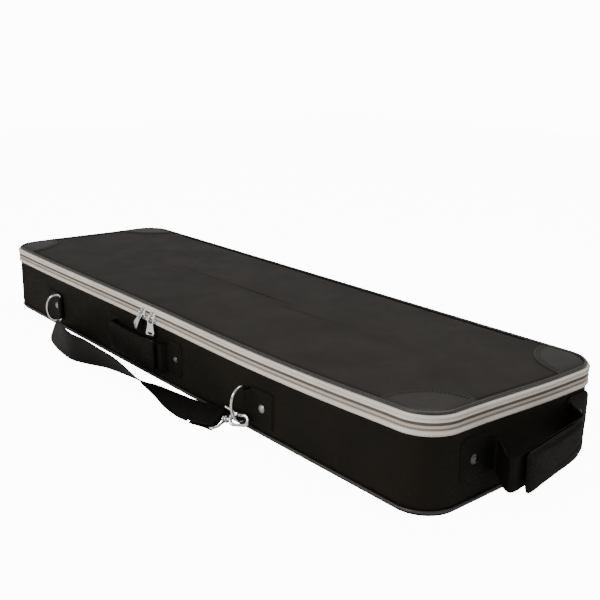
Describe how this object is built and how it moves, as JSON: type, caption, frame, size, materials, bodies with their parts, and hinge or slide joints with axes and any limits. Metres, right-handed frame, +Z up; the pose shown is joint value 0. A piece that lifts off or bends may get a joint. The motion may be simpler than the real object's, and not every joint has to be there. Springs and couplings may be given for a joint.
{
  "type": "violin case",
  "caption": "Slim oblong violin case: zipped hinged lid on a padded tray, two wrapped handles, two D-rings and a clipped shoulder strap.",
  "frame": {"origin": "centre of the flat bottom, on the surface that the case rests on", "axes": "+X along the case towards the end handle, -Y is the front with the main handle and zip sliders, +Y is the hinged back, +Z is up"},
  "size_m": [0.8385, 0.292, 0.0873],
  "materials": {
    "body_fabric": "black oxford nylon, matte",
    "panel_fabric": "charcoal nylon, soft sheen",
    "piping": "black corded piping",
    "zip_tape": "silver grey woven tape",
    "zip_coil": "nylon coil",
    "webbing": "black ribbed webbing",
    "vinyl": "dark grey grained leatherette",
    "lining": "grey plush over foam",
    "board": "thin plywood, hidden",
    "chrome": "polished",
    "rivet": "satin nickel",
    "clip_plastic": "black moulded"
  },
  "bodies": {
    "case_base": {"bottom_cover": "body_fabric", "bottom_piping": "piping", "base_cover": "body_fabric", "base_shell": "board", "base_lining": "lining", "neck_rest": "lining", "neck_strap": "webbing", "lower_zip_tape": "zip_tape", "lower_zip_coil": "zip_coil", "hinge_strip": "body_fabric", "front_handle_patch_left": "vinyl", "front_handle_patch_right": "vinyl", "front_handle_rivet_left": "rivet", "front_handle_rivet_right": "rivet", "end_handle_patch_front": "vinyl", "end_handle_patch_back": "vinyl", "end_handle_rivet_front": "rivet", "end_handle_rivet_back": "rivet", "left_ring_tab": "vinyl", "left_ring_rivet": "rivet", "right_ring_tab": "vinyl", "right_ring_rivet": "rivet", "shoulder_strap": "webbing", "strap_end_fold": "webbing"},
    "lid": {"lid_shell": "board", "lid_cover": "panel_fabric", "lid_piping": "piping", "upper_zip_tape": "zip_tape", "upper_zip_coil": "zip_coil", "corner_patch_front_left": "vinyl", "corner_patch_back_left": "vinyl", "corner_patch_front_right": "vinyl", "corner_patch_back_right": "vinyl", "lid_lining": "lining", "bow_tip_loop_front": "webbing", "bow_tip_loop_back": "webbing"},
    "front_bow_clip": {"bow_clip_front": "clip_plastic"},
    "back_bow_clip": {"bow_clip_back": "clip_plastic"},
    "left_slider": {"left_zip_slider": "chrome"},
    "left_pull": {"left_zip_pull": "chrome"},
    "right_slider": {"right_zip_slider": "chrome"},
    "right_pull": {"right_zip_pull": "chrome"},
    "front_handle": {"front_handle_strap": "webbing", "front_handle_grip": "vinyl"},
    "end_handle": {"end_handle_strap": "webbing", "end_handle_grip": "vinyl"},
    "left_ring": {"left_d_ring": "chrome"},
    "right_ring": {"right_d_ring": "chrome"},
    "hook": {"snap_hook": "chrome"},
    "gate": {"hook_gate": "chrome"},
    "end_ring": {"strap_end_ring": "chrome"}
  },
  "joints": [
    {"name": "lid_hinge", "type": "hinge", "parent": "case_base", "child": "lid", "pos_m": [0, 0.1213, 0.0747], "axis": [-1, 0, 0], "range_deg": [0, 105], "deforming": ["hinge_strip"]},
    {"name": "front_bow_clip_turn", "type": "hinge", "parent": "lid", "child": "front_bow_clip", "pos_m": [-0.3, -0.066, 0.064], "axis": [0, 0, 1], "range_deg": [0, 90]},
    {"name": "back_bow_clip_turn", "type": "hinge", "parent": "lid", "child": "back_bow_clip", "pos_m": [-0.3, 0.066, 0.064], "axis": [0, 0, 1], "range_deg": [0, 90]},
    {"name": "left_slider_slide", "type": "slide", "parent": "case_base", "child": "left_slider", "axis": [-1, 0, 0], "range_m": [0, 0.3]},
    {"name": "left_pull_hinge", "type": "hinge", "parent": "left_slider", "child": "left_pull", "pos_m": [-0.028, -0.1251, 0.0749], "axis": [-0.8829, 0, 0.4695], "range_deg": [0, 165]},
    {"name": "right_slider_slide", "type": "slide", "parent": "case_base", "child": "right_slider", "axis": [1, 0, 0], "range_m": [0, 0.34]},
    {"name": "right_pull_hinge", "type": "hinge", "parent": "right_slider", "child": "right_pull", "pos_m": [-0.007, -0.1251, 0.0749], "axis": [-1, 0, 0], "range_deg": [0, 165]},
    {"name": "front_handle_swing", "type": "hinge", "parent": "case_base", "child": "front_handle", "pos_m": [-0.036, -0.1225, 0.036], "axis": [-1, 0, 0], "range_deg": [-30, 8], "deforming": ["front_handle_strap"]},
    {"name": "end_handle_swing", "type": "hinge", "parent": "case_base", "child": "end_handle", "pos_m": [0.4065, 0.009, 0.036], "axis": [0, -1, 0], "range_deg": [-35, 30], "deforming": ["end_handle_strap"]},
    {"name": "left_ring_swing", "type": "hinge", "parent": "case_base", "child": "left_ring", "pos_m": [-0.245, -0.1227, 0.03], "axis": [0, 0, 1], "range_deg": [-45, 75], "deforming": ["shoulder_strap"]},
    {"name": "right_ring_swing", "type": "hinge", "parent": "case_base", "child": "right_ring", "pos_m": [0.168, -0.1227, 0.03], "axis": [0, 0, 1], "range_deg": [-3, 18], "deforming": ["strap_end_fold"]},
    {"name": "hook_swing", "type": "hinge", "parent": "right_ring", "child": "hook", "pos_m": [0.168, -0.1315, 0.0132], "axis": [0, 0.9207, -0.3903], "range_deg": [-3, 8], "deforming": ["strap_end_fold"]},
    {"name": "gate_press", "type": "hinge", "parent": "hook", "child": "gate", "pos_m": [0.1601, -0.1324, 0.0174], "axis": [-0.2998, 0.8794, -0.3698], "range_deg": [0, 20], "stiffness_Nm_per_rad": 0.02},
    {"name": "end_ring_swivel", "type": "hinge", "parent": "hook", "child": "end_ring", "pos_m": [0.1542, -0.1371, 0.0111], "axis": [0.9187, 0.3695, 0.1398], "range_deg": [-8, 8], "deforming": ["strap_end_fold"]}
  ]
}
